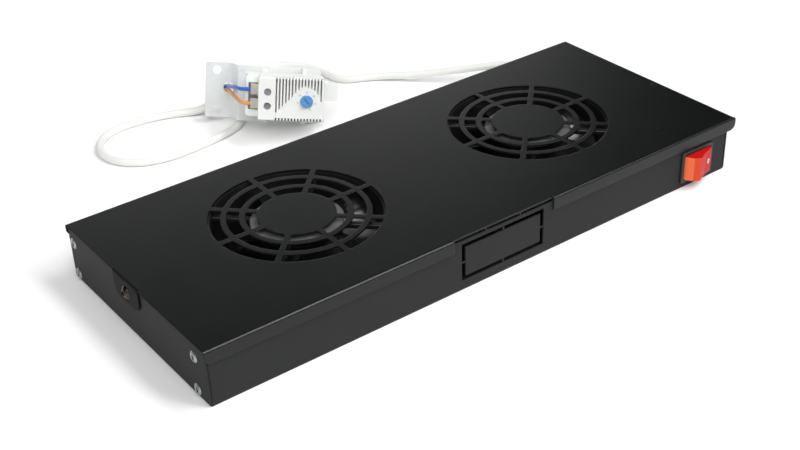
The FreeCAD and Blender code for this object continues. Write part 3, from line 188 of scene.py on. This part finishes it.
FINISHES = {
    "black_powder_coat": dict(colour=(0.0045, 0.0052, 0.0050), rough=0.26, level=0.34, grain=1100,
                              grain_depth=0.1, grain_detail=2.0, mottle=40, mottle_share=0.08,
                              rough_share=0.03, edge=0.5, side_rough=0.85),
    # The tray wears a copy of the cover's black coat, duller and with less gloss, and made lighter as painted
    # light, since its walls look brighter from the light they catch
    "tray_coat_lit_copy": dict(colour=(0.026, 0.0268, 0.0264), rough=0.55, level=0.09, grain=1100, grain_depth=0.15,
                      grain_detail=2.0, mottle=40, mottle_share=0.08, rough_share=0.04),
    "fan_black": dict(colour=(0.010, 0.010, 0.011), rough=0.38, grain=1100, grain_depth=0.06),
    "blade_black": dict(colour=(0.008, 0.008, 0.009), rough=0.22, grain=400, grain_depth=0.02),
    "motor_grey": dict(colour=(0.20, 0.205, 0.20), rough=0.42, metal=0.5, grain=1600, grain_depth=0.03),
    "zinc_steel": dict(colour=(0.62, 0.64, 0.66), rough=0.28, metal=1.0, grain=700, grain_depth=0.02,
                       mottle=350, mottle_share=0.1),
    "galvanised": dict(colour=(0.84, 0.865, 0.86), rough=0.38, metal=0.35, grain_depth=0.015,
                       mottle=260, mottle_share=0.05, rough_share=0.05),
    "recessed_screw": dict(colour=(0.62, 0.65, 0.68), rough=0.35, metal=1.0, grain_depth=0.02),
    "dark_screw": dict(colour=(0.06, 0.051, 0.044), rough=0.24, metal=1.0, grain_depth=0.02),
    "rivet_aluminium": dict(colour=(0.36, 0.38, 0.39), rough=0.3, metal=1.0, grain_depth=0.02, mottle=300),
    "winding_copper": dict(colour=(0.55, 0.24, 0.1), rough=0.35, metal=1.0, grain=2500, grain_depth=0.12),
    "switch_black": dict(colour=(0.016, 0.016, 0.017), rough=0.36, grain=1800, grain_depth=0.03),
    # The rocker's faces towards -X carry painted light, a lighter orange as if lit from that side
    "rocker_red": dict(colour=(0.50, 0.006, 0.005), rough=0.4, level=0.12, grain=500, grain_depth=0.01,
                       mottle_share=0.05, edge=0.35, left_painted_light=(0.98, 0.21, 0.08)),
    "terminal_brass": dict(colour=(0.80, 0.76, 0.68), rough=0.35, metal=0.6, grain_depth=0.02),
    "block_white": dict(colour=(0.72, 0.71, 0.67), rough=0.45, grain=1200, grain_depth=0.03),
    "gland_black": dict(colour=(0.02, 0.02, 0.021), rough=0.42, grain=1300),
    "cord_white": dict(colour=(0.77, 0.78, 0.75), rough=0.42, grain=600, grain_depth=0.03,
                       mottle_share=0.03),
    "thermostat_grey": dict(colour=(0.84, 0.85, 0.83), rough=0.45, grain=2200, grain_depth=0.03,
                            mottle_share=0.02),
    "dial_blue": dict(colour=(0.11, 0.31, 0.62), rough=0.38, grain=1800, grain_depth=0.03,
                      mottle_share=0.05),
    "core_blue": dict(colour=(0.02, 0.13, 0.55), rough=0.32, grain=800, grain_depth=0.02),
    "scale_ink": dict(colour=(0.40, 0.32, 0.27), rough=0.5, grain=2200, grain_depth=0.02),
    # Painted shade for the hollows of the cover's lower slots
    "vent_painted_shade": dict(colour=(0.03, 0.03, 0.03), rough=0.6, grain=2200, grain_depth=0.02),
    "core_brown": dict(colour=(0.78, 0.34, 0.12), rough=0.35, grain=800, grain_depth=0.02),
}
FINISH = {name: material(name, **settings) for name, settings in FINISHES.items()}

# The tray takes the lighter copy of the black coat, which is painted light
NODE_FINISH = {"base_tray": "tray_coat_lit_copy", "mounting_bracket": "galvanised", "din_rail": "galvanised",
               "thermostat_screws": "recessed_screw"}
for row in frame["record"]["subparts"]:
    piece = nodes[row["node"]]
    piece.data.materials.clear()
    piece.data.materials.append(FINISH[NODE_FINISH.get(row["node"], row["material_slot"])])
cord.data.materials.append(FINISH["cord_white"])


# Pieces that only the scene has

BAR_SIDES = 8
LEAST_SIDE = 1e-4


def finish(piece, slot_name, body="tray", finish_name=None):
    piece.data.materials.clear()
    piece.data.materials.append(FINISH[finish_name or slot_name])
    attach(piece, body)


def mesh_object(name, build, smooth=True):
    mesh = bpy.data.meshes.new(name)
    bm = bmesh.new()
    build(bm)
    bmesh.ops.recalc_face_normals(bm, faces=bm.faces)
    bm.to_mesh(mesh)
    bm.free()
    for face in mesh.polygons:
        face.use_smooth = smooth
    piece = bpy.data.objects.new(name, mesh)
    scene.collection.objects.link(piece)
    return piece


def closed_bar(bm, path, radius):
    """Round bar along a closed line of points."""
    rings = []
    for i, point in enumerate(path):
        way = (path[(i + 1) % len(path)] - path[i - 1]).normalized()
        side = way.cross(Vector((0, 0, 1)))
        if side.length < LEAST_SIDE:
            side = way.cross(Vector((0, 1, 0)))
        side.normalize()
        up = side.cross(way)
        turns = [2 * math.pi * k / BAR_SIDES for k in range(BAR_SIDES)]
        rings.append([bm.verts.new(point + radius * (math.cos(t) * side + math.sin(t) * up)) for t in turns])
    for i, low in enumerate(rings):
        high = rings[(i + 1) % len(rings)]
        for k in range(BAR_SIDES):
            after = (k + 1) % BAR_SIDES
            bm.faces.new((low[k], low[after], high[after], high[k]))


# Bracket's frame: x along the thermostat's face, z up, -y towards the viewer

BRACKET = (Matrix.Translation(Vector((-39.5, 228.9, 5.8)) * MM) @ Matrix.Rotation(math.radians(-30.1), 4, "Z")
           @ Matrix.Rotation(math.radians(-18.5), 4, "X") @ Matrix.Rotation(math.radians(7.0), 4, "Y"))
COVER_FRONT = 57.0
DIAL_X = 79.2
DIAL_Z = 22.7


# Scale round the dial: plain numbers, and the edge of the panel they stand on

SCALE_COUNT = 7
SCALE_R = 6.9
SCALE_START = 243.0
SCALE_STEP = 51.4
NUMBER_SIZE = 1.9
NUMBER_THICK = 0.04
NUMBER_LIFT = 0.03

for i in range(SCALE_COUNT):
    angle = math.radians(SCALE_START - SCALE_STEP * i)
    text = bpy.data.curves.new(f"scale_{10 * i}", "FONT")
    text.body = str(10 * i)
    text.size = NUMBER_SIZE * MM
    text.extrude = NUMBER_THICK * MM
    text.align_x = "CENTER"
    text.align_y = "CENTER"
    writing = bpy.data.objects.new("writing", text)
    scene.collection.objects.link(writing)
    written = writing.evaluated_get(bpy.context.evaluated_depsgraph_get())
    number = bpy.data.objects.new(f"scale_{10 * i}", bpy.data.meshes.new_from_object(written))
    bpy.data.objects.remove(writing)
    across = DIAL_X + SCALE_R * math.cos(angle)
    level = DIAL_Z + SCALE_R * math.sin(angle)
    place = Matrix.Translation(Vector((across, -COVER_FRONT - NUMBER_LIFT, level)) * MM)
    number.matrix_world = BRACKET @ place @ Matrix.Rotation(math.radians(90), 4, "X")
    scene.collection.objects.link(number)
    finish(number, "thermostat_grey", finish_name="scale_ink")

PANEL_LEFT = [(54.0, 9.2), (58.0, 14.0), (64.0, 21.0), (69.0, 27.0)]
PANEL_RIGHT = [(88.6, 14.0), (84.0, 10.0), (79.5, 9.2)]
PANEL_R = 11.6
PANEL_START = 140
PANEL_STEP = 15
PANEL_POINTS = 9
PANEL_LIFT = 0.02
PANEL_EDGE_R = 0.16


def panel_edge(bm):
    turns = [math.radians(PANEL_START - PANEL_STEP * k) for k in range(PANEL_POINTS)]
    arc = [(DIAL_X + PANEL_R * math.cos(turn), DIAL_Z + PANEL_R * math.sin(turn)) for turn in turns]
    outline = PANEL_LEFT + arc + PANEL_RIGHT
    path = [BRACKET @ (Vector((x, -COVER_FRONT - PANEL_LIFT, z)) * MM) for x, z in outline]
    closed_bar(bm, path, PANEL_EDGE_R * MM)


finish(mesh_object("panel_edge", panel_edge), "thermostat_grey")


# Dark blocks in the slots along the cover's lower edge: painted shade, where the slots' hollows lie in shadow

VENT_COUNT = 15
VENT_FIRST = 55.9
VENT_PITCH = 2.45
VENT_WIDTH = 1.2
VENT_LOW = 7.0
VENT_HEIGHT = 2.2
SHADE_DEPTH = 0.6
SHADE_THICK = 0.3


def vent_shade_blocks(bm):
    for i in range(VENT_COUNT):
        middle = (VENT_FIRST + VENT_PITCH * i, -COVER_FRONT + SHADE_DEPTH, VENT_LOW + VENT_HEIGHT / 2)
        shape = Matrix.Diagonal((VENT_WIDTH * MM, SHADE_THICK * MM, VENT_HEIGHT * MM, 1))
        bmesh.ops.create_cube(bm, size=1, matrix=BRACKET @ Matrix.Translation(Vector(middle) * MM) @ shape)


finish(mesh_object("vent_shade_blocks", vent_shade_blocks, smooth=False), "thermostat_grey", finish_name="vent_painted_shade")


# The top cover's overhang runs straight past the right tab's bend, so this strip closes the gap there

BEND_X = 219.7
BEND_Z = 39.2
BEND_R = 1.8
BEND_STEPS = 8
STRIP_LOW = 39.8
STRIP_TOP = 41.0
STRIP_EDGE = 224.6
STRIP_ENDS = (-12.45, 22.45)


def cover_edge(bm):
    bend_end = math.acos((STRIP_LOW - BEND_Z) / BEND_R)
    turns = [bend_end * k / BEND_STEPS for k in range(BEND_STEPS + 1)]
    profile = [(BEND_X + BEND_R * math.sin(turn), BEND_Z + BEND_R * math.cos(turn)) for turn in turns]
    profile += [(STRIP_EDGE, STRIP_LOW), (STRIP_EDGE, STRIP_TOP)]
    front, rear = [[bm.verts.new(Vector((x, y, z)) * MM) for x, z in profile] for y in STRIP_ENDS]
    for k in range(len(profile)):
        after = (k + 1) % len(profile)
        bm.faces.new((front[k], front[after], rear[after], rear[k]))
    bm.faces.new(front)
    bm.faces.new(rear)


finish(mesh_object("cover_edge", cover_edge, smooth=False), "black_powder_coat")


# White ring mark on the pressed half of the rocker, in the rocker's own frame

ROCKER_PIVOT = (187.5, -87.0, 16.9)
ROCKER_TILT = 20.0
ROCKER = Matrix.Translation(Vector(ROCKER_PIVOT) * MM) @ Matrix.Rotation(math.radians(ROCKER_TILT), 4, "Z")
FACE_Y = -9.11
FACE_SLOPE = -0.064
RING_POINTS = 28
RING_MIDDLE = 5.0
RING_ACROSS = 1.25
RING_UP = 1.6
RING_LIFT = 0.12
RING_BAR_R = 0.34


def ring_mark(bm):
    path = []
    for k in range(RING_POINTS):
        turn = 2 * math.pi * k / RING_POINTS
        along = RING_MIDDLE + RING_ACROSS * math.cos(turn)
        out = FACE_Y + FACE_SLOPE * along - RING_LIFT
        path.append(ROCKER @ (Vector((along, out, RING_UP * math.sin(turn))) * MM))
    closed_bar(bm, path, RING_BAR_R * MM)


finish(mesh_object("rocker_mark", ring_mark), "block_white", body="rocker")


# Studio: white floor, a dark card under the tray as painted shadow, soft lamps

FLOOR_HALF = 14.0
SHADE_CARD_X = 0.205
SHADE_CARD_Y = 0.075
SHADE_CARD_Z = 0.00005


def flat_sheet(name, half_x, half_y, level, surface):
    mesh = bpy.data.meshes.new(name)
    corners = [(-half_x, -half_y, level), (half_x, -half_y, level), (half_x, half_y, level),
               (-half_x, half_y, level)]
    mesh.from_pydata(corners, [], [(0, 1, 2, 3)])
    mesh.materials.append(surface)
    piece = bpy.data.objects.new(name, mesh)
    scene.collection.objects.link(piece)
    return piece


floor = flat_sheet("floor", FLOOR_HALF, FLOOR_HALF, 0,
                   material("floor_white", (0.96, 0.96, 0.96), 0.9, level=0.1, grain=30, grain_depth=0.0,
                            mottle=3, mottle_share=0.004, rough_share=0.02))

# The card is painted shadow for the floor under the tray: it stays inside the tray's outline, and keeps the
# floor from shining up through the intakes
shade_card = flat_sheet("shade_card", SHADE_CARD_X, SHADE_CARD_Y, SHADE_CARD_Z, material("shade_card_black", (0.01, 0.01, 0.01), 0.9, level=0.05))

# Lamps: name, direction towards the lamp, strength, spread in degrees
LAMPS = [
    ("key", (-0.38, -0.85, 1.05), 1.45, 45),
    ("top_fill", (0.1, -0.2, 1.0), 0.5, 50),
    ("left_fill", (-0.8, -0.35, 0.7), 0.7, 50),
]
for name, towards, strength, spread in LAMPS:
    data = bpy.data.lights.new(name, "SUN")
    data.energy = strength
    data.angle = math.radians(spread)
    lamp = bpy.data.objects.new(name, data)
    lamp.rotation_euler = Vector(towards).to_track_quat("Z", "Y").to_euler()
    scene.collection.objects.link(lamp)


# World: bright near the horizon, dark above it and towards the viewer's right, and a long lamp overhead

world = bpy.data.worlds.new("studio")
scene.world = world
world.use_nodes = True
sky = world.node_tree
back = sky.nodes["Background"]
ray = sky.nodes.new("ShaderNodeTexCoord").outputs["Generated"]
way = add_node(sky, "SeparateXYZ", {"Vector": ray}).outputs


def ramp(source, low, high, value_low, value_high):
    """Smooth change from one value to another along one coordinate."""
    node = add_node(sky, "MapRange", {"Value": source, "From Min": low, "From Max": high,
                                      "To Min": value_low, "To Max": value_high},
                    interpolation_type="SMOOTHSTEP")
    return node.outputs["Result"]


def combine(operation, first, second):
    return add_node(sky, "Math", {0: first, 1: second}, operation=operation).outputs["Value"]


# The surround is bright on the side that LEAN_AXIS points to, which is the viewer's left
LEAN_AXIS = (-0.72, 0.69, 0.0)
lean = add_node(sky, "VectorMath", {0: ray, 1: LEAN_AXIS}, operation="DOT_PRODUCT").outputs["Value"]
height = ramp(way["Z"], 0.25, 0.54, 1.4, 0.01)
side = ramp(lean, -0.06, 0.08, 0.03, 1.0)
surround = combine("MULTIPLY", combine("MULTIPLY", height, side), ramp(way["X"], -0.05, 0.35, 0.15, 1.0))

# The long lamp lies from above the middle to the front
STRIP_LIGHT = 9.0
strip = combine("MULTIPLY", ramp(way["X"], 0.28, 0.36, 0.0, STRIP_LIGHT), ramp(way["X"], 0.50, 0.60, 1.0, 0.0))
strip = combine("MULTIPLY", strip, ramp(way["Y"], -0.12, 0.06, 1.0, 0.0))
strip = combine("MULTIPLY", strip, ramp(way["Z"], 0.35, 0.50, 0.0, 1.0))
sky.links.new(combine("ADD", surround, strip), back.inputs["Strength"])
back.inputs["Color"].default_value = (1, 1, 1, 1)

scene.view_settings.view_transform = "Standard"
